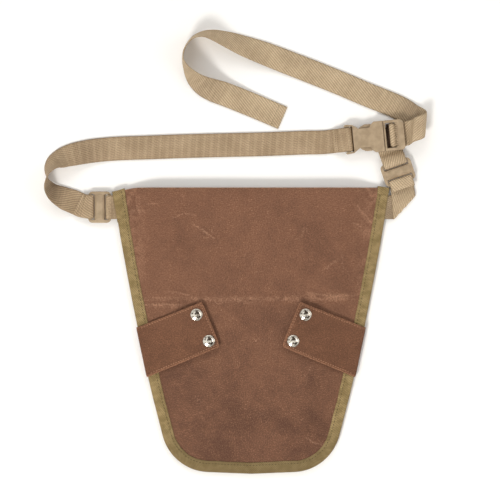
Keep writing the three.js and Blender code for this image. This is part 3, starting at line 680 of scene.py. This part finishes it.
def side_line():
    """The right-hand edge from the mouth to the foot's middle, evenly spaced."""
    padded = np.concatenate([SIDE[:1], SIDE, SIDE[-1:]])
    w = np.arange(20)[:, None] / 20
    parts = []
    for i in range(len(SIDE) - 1):
        a, b, c, d = padded[i : i + 4]
        parts.append(hermite(b, c, (c - a) / 2, (d - b) / 2, w))
    turn = np.radians(np.linspace(-14, -86, 30))
    parts.append(CORNER_CENTRE + CORNER_RADIUS * np.stack([np.cos(turn), np.sin(turn)], axis=1))
    points = np.concatenate([*parts, [[0, FOOT_Y]]])
    return spaced(np.concatenate([SIDE[1:2], points[points[:, 1] < MOUTH_Y]]), 1.0)[0]


def corner_index():
    """The point of the right-hand edge half way round the foot's corner."""
    dx, dy = (RIGHT_EDGE - CORNER_CENTRE).T
    away = np.abs(np.arctan2(dy, dx) + math.pi / 4)
    return int(np.argmin(np.where(RIGHT_EDGE[:, 1] > CORNER_TOP, np.inf, away)))


RIGHT_EDGE = side_line()
CORNER_INDEX = corner_index()


def droop(grid):
    """The mouth's left end hangs a little lower than the rest."""
    moved = np.array(grid, float)
    moved[..., 1] -= MOUTH_DROOP * smooth(-grid[..., 0], 116, 146) * smooth(grid[..., 1], 112, 150)
    return moved


def panel_grid(count_u=172, count_v=178):
    """A grid over the pouch's outline: rows from foot to mouth, columns from left to right."""
    right = even(RIGHT_EDGE[: CORNER_INDEX + 1][::-1], count_v)
    foot = RIGHT_EDGE[CORNER_INDEX:]
    foot = even(np.concatenate([foot * [-1, 1], foot[::-1][1:]]), count_u)
    left = right * [-1, 1]
    top = np.stack([np.linspace(left[-1, 0], right[-1, 0], count_u), np.full(count_u, MOUTH_Y)], axis=1)
    u = np.linspace(0, 1, count_u)[None, :, None]
    v = np.linspace(0, 1, count_v)[:, None, None]
    corners = (1 - u) * (1 - v) * foot[0] + u * (1 - v) * foot[-1] + (1 - u) * v * top[0] + u * v * top[-1]
    return (1 - v) * foot[None] + v * top[None] + (1 - u) * left[:, None] + u * right[:, None] - corners


def edge_distance(points):
    """Distance from each point to the bound edge, which runs round the sides and the foot."""
    return to_line(points * np.where(points[..., :1] < 0, [-1, 1], [1, 1]), RIGHT_EDGE[::2])


# ---- front and back panels ----

CROWN_TOP = 11.45
FRONT_LOW = 4.65
FRONT_CEILING = 11.5
FOLD_LINE_Y = 31.5
BACK_LOW, BACK_RIM, BACK_OVER_PATCH = 0.55, 1.6, 0.95
# Puckers that run out of the foot's corners: side, direction in degrees, height.
PUCKERS = ((1, -38, 0.55), (1, -58, 0.4), (-1, -45, 0.5), (-1, -66, 0.35))
# Small folds of the front: height and the line each follows.
FOLDS = [
    (0.5, [(-62, 112), (-49, 105), (-38, 96)]), (0.6, [(-90, 40.5), (-76, 40), (-62, 36)]),
    (0.45, [(-112, 27), (-92, 28), (-72, 26.5)]), (0.4, [(111, 132), (116, 124), (121, 120), (127, 113)]),
    (0.3, [(106, 113), (116, 109)]), (0.3, [(-120, 132), (-117.5, 124)]), (0.35, [(-112, 132), (-95, 134)]),
    (0.35, [(58, -112), (66, -118), (78, -120)]), (-0.5, [(62, -103), (80, -113)]),
    (0.3, [(-82, 118), (-70, 123), (-58, 121)]), (0.35, [(60, 40), (84, 36), (108, 37)]),
]


def front_surface(points):
    """Height of the front panel's middle surface."""
    d = edge_distance(points)
    flat, shape = points.reshape(-1, 2), points.shape[:-1]
    x, y = points[..., 0], points[..., 1]
    inner = smooth(d, 16, 50)
    waves = wander(flat, 62, 3.1).reshape(shape) * 0.5 + wander(flat, 27, 8.4).reshape(shape) * 0.16
    sag = 0.9 * hump(x, 62) * hump(y - 92, 50) + 0.7 * hump(x, 55) * hump(y + 80, 40)
    z = FRONT_LOW + (CROWN_TOP - FRONT_LOW) * smooth(d, 10.8, 46) + inner * (waves - sag)
    above = y - FOLD_LINE_Y - 3.0 * wander(flat * [1, 0], 45, 5.5).reshape(shape)
    crease = 0.55 * hump(above, 1.6) - 0.35 * hump(above + 5, 4)
    z = z + crease * smooth(d, 12, 22) * (1 - 0.6 * smooth(np.abs(x), 80, 120))
    for side, angle, rise in PUCKERS:
        c, s = math.cos(math.radians(angle)), math.sin(math.radians(angle))
        dx, dy = x * side - CORNER_CENTRE[0], y - CORNER_CENTRE[1]
        z = z + rise * hump(dy * c - dx * s, 3.2) * smooth(dx * c + dy * s, 6, 22) * smooth(d, 11, 17)
    return np.minimum(z, FRONT_CEILING) - 0.25 * smooth(y, 143, 150) * inner


def panel_shell(name, height, half, third, edge):
    """A canvas panel over the pouch's outline at the given heights."""
    grid = droop(np.concatenate([flat_grid, height[..., None]], axis=2))
    return cloth_shell(name, grid, half, CANVAS, fabric(grid[..., 0], grid[..., 1], third), edge)


flat_grid = panel_grid()
hem = np.full(flat_grid.shape[:2], 0.5)
hem[-6:-1] = 0.62
hem[-1] = 0.3
mouth_edge = np.maximum((MOUTH_Y - flat_grid[..., 1]) * MM * 1.6, 0.0)
marked = mouth_edge
front_height = front_surface(flat_grid)
for rise, fold in FOLDS:
    away = to_line(flat_grid, fold)
    front_height += rise * hump(away, 1.7) - 0.4 * rise * hump(away - 4.5, 2.4)
    if rise > 0:
        marked = np.minimum(marked, (away + 1.0) * MM)
front_panel = panel_shell("front_canvas", front_height, hem, 0.0, marked)
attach(front_panel, "pouch")
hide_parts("front_panel")

TAB_ROOT = (113.7, -22.3)
TAB_ANGLE = math.radians(11.94)
TAB_COS, TAB_SIN = math.cos(TAB_ANGLE), math.sin(TAB_ANGLE)


def in_tab_frame(side, x, y):
    """A place in a tab's frame, from its root towards the pouch's middle, as one in the row frame."""
    inward = TAB_ROOT[0] - (x * TAB_COS - y * TAB_SIN)
    return side * inward, TAB_ROOT[1] + x * TAB_SIN + y * TAB_COS


def to_tab_frame(side, points):
    dx = TAB_ROOT[0] - side * points[..., 0]
    dy = points[..., 1] - TAB_ROOT[1]
    return dx * TAB_COS + dy * TAB_SIN, -dx * TAB_SIN + dy * TAB_COS


PATCH_DEPTH = 42.0
PATCH_LOW, PATCH_HIGH = -26.8, 26.4
PATCH_SLOPE = 2.5


def back_surface(points):
    """Height of the back panel's middle surface: flat, lifted at the rim and over the tabs' patches."""
    z = BACK_LOW + BACK_RIM * (1 - smooth(edge_distance(points), 9, 15))
    for side in (-1, 1):
        tx, ty = to_tab_frame(side, points)
        over = smooth(-tx, -PATCH_DEPTH - PATCH_SLOPE, -PATCH_DEPTH)
        over = over * smooth(ty, PATCH_LOW - PATCH_SLOPE, PATCH_LOW)
        over = over * smooth(-ty, -PATCH_HIGH - PATCH_SLOPE, -PATCH_HIGH)
        z = np.maximum(z, BACK_LOW + BACK_OVER_PATCH * over)
    return z


back_panel = panel_shell("back_canvas", back_surface(flat_grid), hem * 0.9, 0.7, mouth_edge)
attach(back_panel, "pouch")
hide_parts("back_panel")

# ---- edge binding ----

# Across the tape, round the pouch's edge from back to front: distance inside the edge, and height.
BINDING_SECTION = [
    (10.9, 1.15), (10.2, 1.2), (8, 1.22), (5, 1.25), (2, 1.3), (0.6, 1.45), (-0.35, 2.0), (-0.62, 3.0),
    (-0.62, 4.0), (-0.35, 4.95), (0.6, 5.45), (2, 5.58), (5, 5.62), (8, 5.62), (10.2, 5.6), (10.9, 5.5),
]
BINDING_MIDDLE = 3.5
BINDING_THICK = 0.58


def binding_edge():
    """The bound edge from the mouth's left end round the foot to its right end, with inward normals."""
    line = np.concatenate([RIGHT_EDGE * [-1, 1], RIGHT_EDGE[::-1][1:]])
    line = spaced(line, 1.6)[0]
    tangent = unit(np.gradient(line, axis=0))
    return line, np.stack([-tangent[:, 1], tangent[:, 0]], axis=1)


def binding_piece(name, keep, grow=0.0, lift=0.0, widen=0.0):
    """The tape along the part of the edge that keep picks, made larger where it laps over itself."""
    line, inward = binding_edge()
    chosen = keep(line)
    line, inward = line[chosen], inward[chosen]
    grid = np.empty((len(line), len(BINDING_SECTION), 3))
    wave = wander(line, 9, 2.2)
    swell = wander(line, 24, 6.1)
    for j, (n, z) in enumerate(BINDING_SECTION):
        inner = max(0.0, (n - 2) / 9)
        reach = n + inner * (0.45 * wave + 0.35 * swell + widen) - (1 - inner) * (grow + 0.15 * swell)
        up = 1 if z > BINDING_MIDDLE else -1
        grid[:, j, :2] = line + inward * reach[:, None]
        grid[:, j, 2] = z + up * (lift + inner * 0.1 * wander(line, 7, 9.9 + up))
    grid = droop(grid)
    cross = distance_along(np.array(BINDING_SECTION))
    weave = fabric(distance_along(line)[:, None], cross[None, :], grid[..., 1] * MM)
    half = edge_half(len(BINDING_SECTION), BINDING_THICK, (0.4,))
    obj = cloth_shell(name, grid, half[None, :], BINDING, weave)
    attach(obj, "pouch")
    return obj, grid


def binding_threads(name, stitches, radius, sink=0.1):
    piece = thread(name, stitches, THREAD_OLIVE, radius, sink)
    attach(piece, "pouch")


edge_binding, binding_grid = binding_piece(
    "edge_binding_tape", lambda p: ~((p[:, 0] < 0) & (p[:, 1] > 116)))
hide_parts("edge_binding")
_, left_top_grid = binding_piece(
    "edge_binding_left_top", lambda p: (p[:, 0] < 0) & (p[:, 1] > 112.5), grow=0.5, lift=0.35, widen=0.8)
join_line = left_top_grid[0, 8:15] * [1, 1, 0] + [0, -0.25, 6.05]
binding_threads("binding_join", stitch_row(join_line, (0, 0, 1), 1.3, 1.0), 0.3, 0.2)
binding_piece(
    "edge_binding_end_fold", lambda p: (p[:, 0] > 0) & (p[:, 1] > 141.5), grow=0.25, lift=0.5, widen=0.4)
for name, grid in (("binding", binding_grid), ("binding_top", left_top_grid)):
    for face, column, normal in (("front", -3, (0, 0, 1)), ("back", 2, (0, 0, -1))):
        line = grid[1:-1, column] + np.array(normal) * 0.32
        binding_threads(f"{name}_stitches_{face}", stitch_row(line, normal, 3.3, 0.6), 0.38)

# ---- side tabs ----

TAB_CORNERS = [(-0.85, -26.8), (81.2, -11), (72.3, 38.7), (-0.85, 26.4)]
TAB_ROWS = 60
TAB_COLS = 30
PATCH_ROWS = 24
TURN_ROWS = 6
PATCH_Z = 0.36
OUTER_X = -1.12
FLAP_START = 0.4
FLAP_Z = 7.0
FLAP_CLIMB = 9.3
PATCH_THICK, FLAP_THICK = 0.62, 1.55
SNAPS = [(63.6, 26.7), (70.6, -2.9)]
HANDS = (("left", -1), ("right", 1))


def tab_height(x):
    """Middle surface of the tab above the front panel."""
    return FLAP_Z + FLAP_CLIMB * smooth(x, 6, 56)


def tab_grid(side):
    """The whole cloth of a tab, its back patch, turn and flap, and its fabric coordinates."""
    b = np.linspace(0, 1, TAB_COLS)
    root_y = PATCH_LOW + (PATCH_HIGH - PATCH_LOW) * b
    low_turn, high_turn = np.radians(np.linspace(0, 90, 6)[1:]), np.radians(np.linspace(0, 90, 7)[1:])
    profile = [(x, PATCH_Z) for x in np.linspace(PATCH_DEPTH, 0.6, PATCH_ROWS)]
    profile += [(0.2 - 1.3 * math.sin(t), PATCH_Z + 1.3 * (1 - math.cos(t))) for t in low_turn]
    profile += [(OUTER_X, z) for z in (2.4, 3.2, 4.0, 4.8, 5.4)]
    profile += [(OUTER_X + 1.5 * (1 - math.cos(t)), 5.45 + 1.55 * math.sin(t)) for t in high_turn]
    rows = [np.stack(np.broadcast_arrays(x, root_y, z), axis=1) for x, z in profile]
    (low_x, low_y), (high_x, high_y) = TAB_CORNERS[1:3]
    for a in np.linspace(0, 1, TAB_ROWS)[1:]:
        corner = 1 - 0.014 * (np.abs(2 * b - 1) ** 10) * a**24
        x = FLAP_START + (low_x + (high_x - low_x) * b - FLAP_START) * a * corner
        y = root_y + (low_y + (high_y - low_y) * b - root_y) * a
        bow = (0.3 * np.sin(math.pi * b) + 0.21 * (np.abs(2 * b - 1) ** 3)) * math.sin(math.pi * a)
        rows.append(np.stack([x, y, tab_height(x) + bow], axis=1))
    local = np.array(rows)
    run = distance_along(local[:, TAB_COLS // 2])
    grid = np.stack([*in_tab_frame(side, local[..., 0], local[..., 1]), local[..., 2]], axis=-1)
    return grid, fabric(run[:, None], local[..., 1], side * 0.4)


def half_tab(rows):
    """The patch is thin and the flap is two layers thick, with turned edges."""
    flap = PATCH_ROWS + TURN_ROWS
    along = np.full(rows, 0.66)
    along[flap:] += (FLAP_THICK - 0.66) * smooth(np.arange(rows - flap), 0, 12)
    along[:PATCH_ROWS] = PATCH_THICK
    along[-1] *= 0.45
    along[-2] *= 0.9
    along[0] *= 0.6
    return edge_half(TAB_COLS, 1.0, (0.45, 0.9))[None, :] * along[:, None]


def tab_edge(grid):
    """Distance of each point of a tab's cloth from its nearest border, in metres."""
    rows, cols = grid.shape[:2]
    width = np.linalg.norm(grid[:, -1] - grid[:, 0], axis=1)[:, None]
    across = np.linspace(0, 1, cols)[None, :]
    beyond = (rows - 1 - np.arange(rows))[:, None] * (81.0 / TAB_ROWS)
    return np.minimum(np.minimum(across, 1 - across) * width, beyond) * MM


FLAP_INSET = 2.4
FLAP_FROM = 3
FLAP_THREAD_RISE = 0.95
PATCH_BOX = [(39, -24), (39, 23.6), (14, 23.6), (14, -24), (39, -24)]
PATCH_THREAD_Z = 0.07


def flap_lines():
    """Both ends of the lines sewn along a flap's lower side, its end and its upper side."""
    (_, ay), (bx, by), (cx, cy), (_, dy) = TAB_CORNERS
    low, high = ay + FLAP_INSET, dy - FLAP_INSET
    return [
        ((FLAP_FROM, low + (by - ay) * FLAP_FROM / bx), (bx - FLAP_INSET, low + by - ay)),
        ((bx - FLAP_INSET, by + FLAP_INSET), (cx - FLAP_INSET, cy - FLAP_INSET)),
        ((FLAP_FROM, high + (cy - dy) * FLAP_FROM / cx), (cx - FLAP_INSET, high + cy - dy)),
    ]


for hand, side in HANDS:
    grid, weave = tab_grid(side)
    if side < 0:
        grid, weave = grid[:, ::-1], weave[:, ::-1]
    cloth = cloth_shell(f"{hand}_tab_cloth", grid, half_tab(len(grid)), TAB_CANVAS, weave, tab_edge(grid))
    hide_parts(f"{hand}_tab", f"{hand}_tab_anchor")
    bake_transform(cloth)
    stitches = []
    for (first, last), count in zip(flap_lines(), (30, 20, 30)):
        x, y = np.linspace(first, last, count).T
        line = np.stack([*in_tab_frame(side, x, y), tab_height(x) + FLAP_THREAD_RISE], axis=1)
        stitches += stitch_row(line, (0, 0, 1), 2.9, 0.68)
    row = thread(f"{hand}_tab_stitches", stitches, THREAD_BROWN, 0.24)
    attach(row, f"{hand}_tab")
    corners = [(*in_tab_frame(side, x, y), PATCH_THREAD_Z) for x, y in PATCH_BOX]
    stitches = []
    for ends in zip(corners[:-1], corners[1:]):
        stitches += stitch_row(ends, (0, 0, -1), 3.0, 0.66)
    row = thread(f"{hand}_patch_stitches", stitches, THREAD_BROWN, 0.22)
    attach(row, "pouch")

# ---- press snaps ----

# Each piece turned about its axis: radius and height.
CAP_PROFILE = [
    (0, 15.6), (1.15, 15.6), (1.15, 17.35), (5.9, 17.25), (6.25, 17.45), (6.3, 17.75), (6.12, 18.05),
    (5.75, 18.22), (5.3, 18.26), (4.95, 18.2), (4.7, 18.24), (4.1, 18.5), (3.2, 18.76), (2.2, 18.95),
    (1.1, 19.03), (0, 19.05),
]
SOCKET_PROFILE = [
    (0, 14.85), (2.85, 14.8), (2.9, 13.5), (3.1, 13.3), (3.5, 13.2), (4.6, 13.2), (5.1, 13.35), (5.38, 13.65),
    (5.4, 14.75), (5.25, 15.05), (5.0, 15.18), (0, 15.2),
]
STUD_PROFILE = [
    (0, 13.35), (1.58, 13.35), (1.6, 12.35), (4.75, 12.3), (4.98, 12.45), (4.95, 12.7), (4.6, 12.88),
    (2.4, 12.92), (2.2, 13.1), (2.38, 13.6), (2.36, 13.95), (2.1, 14.25), (1.6, 14.4), (0, 14.42),
]
POST_PROFILE = [
    (0, 10.05), (4.8, 10.1), (5.1, 10.2), (5.2, 10.42), (5.05, 10.62), (4.6, 10.7), (1.25, 10.7),
    (1.2, 12.95), (0, 13.0),
]
PRESS = (("cap", CAP_PROFILE, "tab"), ("socket", SOCKET_PROFILE, "tab"),
         ("stud", STUD_PROFILE, "pouch"), ("post", POST_PROFILE, "pouch"))
for hand, side in HANDS:
    for number, (x, y) in enumerate(SNAPS, 1):
        for kind, profile, holder in PRESS:
            piece = lathe(f"{hand}_press_{kind}_{number}", profile, in_tab_frame(side, x, y), NICKEL)
            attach(piece, holder if holder == "pouch" else f"{hand}_tab")
            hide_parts(f"{hand}_snap_{kind}_{number}")

# ---- plastic hardware ----

MOULD_SMOOTHING = 5
MOULD_THINNING = 0.35
LEFT_SLIDER = (-159, 129.5)


def block_mesh(low, high, place):
    """Vertices and faces of a box between two corners, in millimetres, moved by place."""
    corners = [place(*corner) for corner in product(*zip(low, high))]
    faces = [(0, 1, 3, 2), (4, 6, 7, 5), (0, 4, 5, 1), (2, 3, 7, 6), (0, 2, 6, 4), (1, 5, 7, 3)]
    return corners, faces


def moulded(name, node, body, extras, voxel=0.3):
    """A moulded piece: the CAD solid with added details, its edges rounded."""
    source = NODES[node].data
    vertices = [tuple(v.co / MM) for v in source.vertices]
    faces = [tuple(p.vertices) for p in source.polygons]
    for extra_vertices, extra_faces in extras:
        base = len(vertices)
        vertices += extra_vertices
        faces += [tuple(base + i for i in face) for face in extra_faces]
    obj = mesh_object(name, vertices, faces, PLASTIC)
    remesh = obj.modifiers.new("remesh", "REMESH")
    remesh.mode = "VOXEL"
    remesh.voxel_size = voxel * MM
    remesh.use_smooth_shade = True
    rounding = obj.modifiers.new("rounding", "SMOOTH")
    rounding.factor = 0.5
    rounding.iterations = MOULD_SMOOTHING
    obj.modifiers.new("thin", "DECIMATE").ratio = MOULD_THINNING
    bpy.context.view_layer.update()
    made = bpy.data.meshes.new_from_object(obj.evaluated_get(bpy.context.evaluated_depsgraph_get()))
    obj.modifiers.clear()
    obj.data = made
    made.polygons.foreach_set("use_smooth", [True] * len(made.polygons))
    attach(obj, body)
    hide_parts(node)
    return obj


def slider_details(place, turn):
    """Thin flanges along the foot of a slider's centre bar, and two lips along its top."""
    c, s = math.cos(turn), math.sin(turn)

    def placed(x, y, z):
        return place[0] + x * c - y * s, place[1] + x * s + y * c, z

    lips = [block_mesh((x - 0.55, -12.6, 4.4), (x + 0.55, 12.6, 5.6), placed) for x in (-2.9, 2.9)]
    return [block_mesh((-5.6, -13.1, 2.45), (5.6, 13.1, 3.0), placed), *lips]


def arm_ribs(low, high):
    """Grip ribs on a spring arm's outer side."""
    return [block_mesh((u - 0.35, low, 5.2), (u + 0.35, high, 8.8), from_buckle)
            for u in (-20.2, -18.6, -17.0, -15.4)]


teeth = [block_mesh((12.5, v - 0.6, 9.2), (14.9, v + 0.6, 11.15), from_buckle)
         for v in np.arange(-12.1, 12.2, 2.2)]
teeth.append(block_mesh((17.9, -13.0, 9.0), (21.7, 13.0, 11.3), from_buckle))
socket_ribs = [
    block_mesh((-2.2, -15.9, 11.2), (-0.2, 15.9, 11.85), from_buckle),
    block_mesh((-33.3, -13.4, 2.6), (-31.9, 13.4, 3.7), from_buckle),
]
buckle_socket = moulded("buckle_socket_shell", "buckle_socket", "buckle_socket", socket_ribs)
for name, node, body, extras, voxel in (
    ("buckle_plug_frame", "buckle_plug", "pouch", teeth, 0.3),
    ("buckle_upper_spring_arm", "buckle_upper_arm", "upper_arm", arm_ribs(12.2, 13.9), 0.25),
    ("buckle_lower_spring_arm", "buckle_lower_arm", "lower_arm", arm_ribs(-13.9, -12.2), 0.25),
    ("left_slider_frame", "left_slider", "left_slider", slider_details(LEFT_SLIDER, 0.0), 0.25),
    ("right_slider_frame", "right_slider", "right_slider", slider_details(RIGHT_SLIDER, SLIDER_TURN), 0.25),
):
    moulded(name, node, body, extras, voxel)

# ---- strap stitching ----

STITCH_REACH = 11.3
STITCH_LIFT = 0.68


def across_strap(name, route, places, up):
    """Rows of stitches across a strap at given distances along it, in millimetres."""
    line, across, run, _ = ribbon_rows(route)
    tangent = unit(np.gradient(line, axis=0))
    stitches = []
    for place in places:
        centre, wide, ahead = (sample(values, run, place) for values in (line, across, tangent))
        normal = unit(np.cross(wide, ahead)) * up
        ends = [centre + wide * w + normal * STITCH_LIFT for w in (-STITCH_REACH, STITCH_REACH)]
        stitches += stitch_row(ends, normal, 2.2, 0.7)
    piece = thread(name, stitches, THREAD_TAN, 0.28, 0.12)
    return piece


def length_of(node):
    """A strap's length along its middle, in metres."""
    return float(distance_along(strap_paths[node])[-1])


belt_length, tail_length = length_of("left_belt") / MM, length_of("belt_tail") / MM
socket_loop_stitches = across_strap("socket_loop_stitches", LEFT_BELT_ROUTE, [2.6, 5.2], 1)
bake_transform(socket_loop_stitches)
slider_loop_stitches = across_strap(
    "slider_loop_stitches", LEFT_BELT_ROUTE, [belt_length - 3.4, belt_length - 6.0], -1)
tail_hem_stitches = across_strap("tail_hem_stitches", TAIL_ROUTE, [tail_length - 8.2], -1)
anchor_stitches = across_strap("right_anchor_stitches", UPPER_BAND, [44.0], 1)
for piece in (slider_loop_stitches, tail_hem_stitches, anchor_stitches):
    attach(piece, "pouch")

# ---- floor and light ----

FLOOR_REACH = 4000
FLOOR_Z = -0.6
MIDDLE = (0, 0.08, 0)
WARM_WHITE = (1.0, 0.985, 0.96)

floor_material = Shader("floor", Base_Color=(0.94, 0.925, 0.905, 1), Roughness=0.9).material
floor_corners = [(x * FLOOR_REACH, y * FLOOR_REACH, FLOOR_Z) for x, y in ((-1, -1), (1, -1), (1, 1), (-1, 1))]
floor = mesh_object("floor", floor_corners, [(0, 1, 2, 3)], floor_material)


def area_light(name, place, size, energy, colour):
    """A rectangular lamp that points at the middle of the object."""
    data = bpy.data.lights.new(name, "AREA")
    data.shape = "RECTANGLE"
    data.size, data.size_y = size
    data.energy = energy
    data.color = colour
    lamp = bpy.data.objects.new(name, data)
    lamp.location = place
    lamp.rotation_mode = "QUATERNION"
    lamp.rotation_quaternion = (Vector(MIDDLE) - Vector(place)).to_track_quat("-Z", "Y")
    bpy.context.scene.collection.objects.link(lamp)


area_light("key", (-0.7, -1.15, 1.5), (0.5, 0.5), 27, WARM_WHITE)
area_light("fill", (1.4, 0.3, 1.4), (1.2, 1.2), 9, WARM_WHITE)
area_light("back", (-0.2, 1.5, 1.2), (1.4, 0.8), 7, (1, 1, 1))

# A studio round of soft dark and bright panels, which the metal reflects.
world = bpy.data.worlds.new("world")
world.use_nodes = True
tree = world.node_tree
panels = tree.nodes.new("ShaderNodeTexNoise")
panels.inputs["Scale"].default_value = 1.9
panels.inputs["Detail"].default_value = 1.0
steps = tree.nodes.new("ShaderNodeValToRGB")
dark_panel, bright_panel = steps.color_ramp.elements
dark_panel.position, dark_panel.color = 0.47, (0.07, 0.055, 0.045, 1)
bright_panel.position, bright_panel.color = 0.53, (1.0, 1.0, 0.98, 1)
sky = tree.nodes["Background"]
sky.inputs["Strength"].default_value = 0.95
tree.links.new(tree.nodes.new("ShaderNodeTexCoord").outputs["Generated"], panels.inputs["Vector"])
tree.links.new(panels.outputs["Fac"], steps.inputs["Fac"])
tree.links.new(steps.outputs["Color"], sky.inputs["Color"])
bpy.context.scene.world = world
bpy.context.scene.view_settings.view_transform = "Standard"
